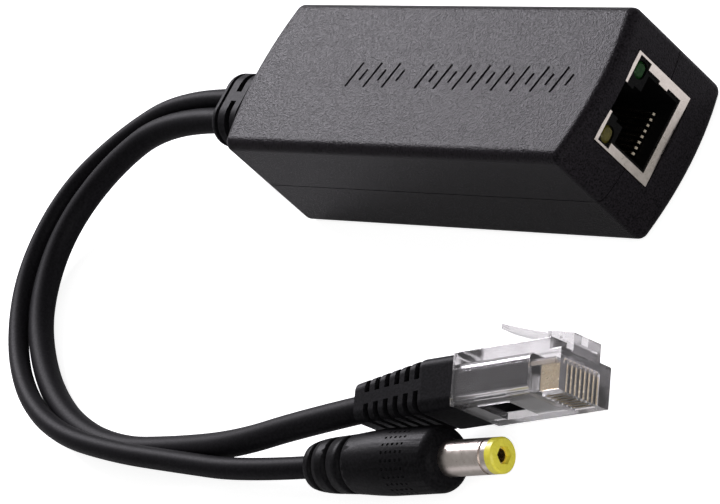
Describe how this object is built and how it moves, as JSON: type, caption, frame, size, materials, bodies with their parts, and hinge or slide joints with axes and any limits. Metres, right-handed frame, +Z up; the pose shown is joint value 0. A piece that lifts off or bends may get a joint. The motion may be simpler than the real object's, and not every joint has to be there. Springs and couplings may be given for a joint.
{
  "type": "poe splitter",
  "caption": "Bowed plastic case with a shielded network jack in one end and, from a ribbed strain relief in the other, a network cord with a clear plug and a power cord with a barrel plug.",
  "frame": {"origin": "middle of the case's base, on the surface that the case stands on", "axes": "+X along the case towards its network jack, +Y across the case away from the cords' loop, +Z up"},
  "size_m": [0.1519, 0.078, 0.0225],
  "materials": {
    "case_plastic": "fine matte grain, dark purple-grey",
    "black_rubber": "moulded, satin",
    "cord_jacket": "extruded, satin",
    "grip_plastic": "moulded, satin, with rows of small dimples",
    "nickel_plate": "nickel plated sheet",
    "contact_gold": "gold flash",
    "socket_plastic": "moulded nylon",
    "lens_green": "tinted clear plastic",
    "lens_yellow": "tinted clear plastic",
    "clear_plastic": "clear moulded plastic",
    "tip_yellow": "moulded",
    "board_laminate": "glass fibre laminate with a green mask",
    "chip_epoxy": "moulded epoxy",
    "ferrite": "ground ferrite",
    "winding_tape": "polyester tape over enamelled wire",
    "can_sleeve": "aluminium can in a dark shrink sleeve",
    "lead_insulation": "thin coloured insulation"
  },
  "bodies": {
    "root": {"case_bottom": "case_plastic", "case_top": "case_plastic", "strain_relief": "black_rubber", "main_board": "board_laminate", "jack_shield": "nickel_plate", "jack_housing": "socket_plastic", "jack_contacts": "contact_gold", "lamp_green": "lens_green", "lamp_yellow": "lens_yellow", "lan_transformer": "chip_epoxy", "power_controller": "chip_epoxy", "bridge_rectifiers": "chip_epoxy", "transformer_core": "ferrite", "transformer_winding": "winding_tape", "input_capacitor": "can_sleeve", "output_capacitors": "can_sleeve", "output_inductor": "ferrite", "output_rectifier": "chip_epoxy", "network_leads": "lead_insulation", "power_leads": "lead_insulation", "network_cord": "cord_jacket", "power_cord": "cord_jacket", "power_plug_grip": "grip_plastic", "power_plug_barrel": "nickel_plate", "power_plug_insulator": "tip_yellow", "power_plug_contact": "contact_gold", "network_plug_body": "clear_plastic", "network_plug_blades": "contact_gold", "network_plug_wires": "lead_insulation", "network_plug_jacket": "cord_jacket", "network_plug_boot": "black_rubber"}
  },
  "joints": []
}
